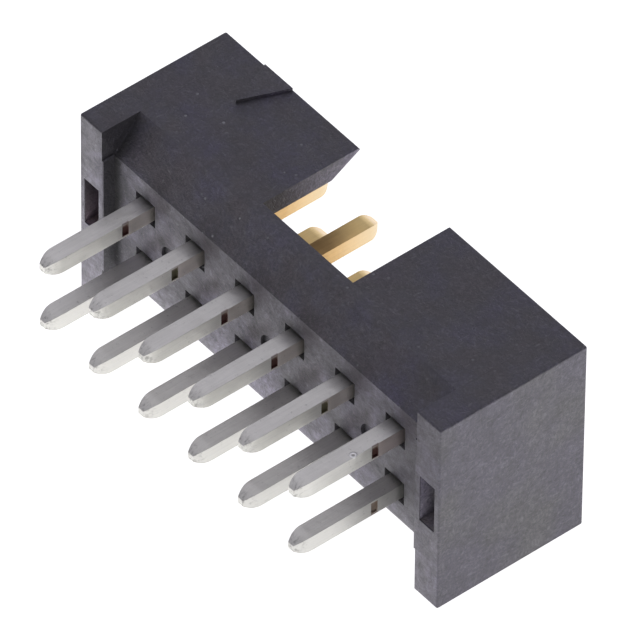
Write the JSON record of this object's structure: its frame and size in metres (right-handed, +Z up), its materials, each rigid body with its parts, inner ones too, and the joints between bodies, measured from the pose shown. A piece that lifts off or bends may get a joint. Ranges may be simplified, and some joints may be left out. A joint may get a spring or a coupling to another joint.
{
  "type": "pin header",
  "caption": "Shrouded two-row pin header in black moulded plastic, with square solder tails, gilt contact ends and a centre keying slot.",
  "frame": {"origin": "middle of the pin field, on the plane of the two stand-off faces that sit on the board", "axes": "+X along the two rows, +Y the way the plug is pulled off, +Z up through the slotted long wall; the part lies on its other long wall, as in the picture"},
  "size_m": [0.0144, 0.0078, 0.0065],
  "materials": {
    "housing": "fine-grained charcoal black glass-filled plastic, matte",
    "contact": "brass wire, bright tin on the solder tail and thin gold on the mating end"
  },
  "bodies": {
    "root": {"housing": "housing", "pin_a1": "contact", "pin_a2": "contact", "pin_a3": "contact", "pin_a4": "contact", "pin_a5": "contact", "pin_a6": "contact", "pin_b1": "contact", "pin_b2": "contact", "pin_b3": "contact", "pin_b4": "contact", "pin_b5": "contact", "pin_b6": "contact"}
  },
  "joints": []
}
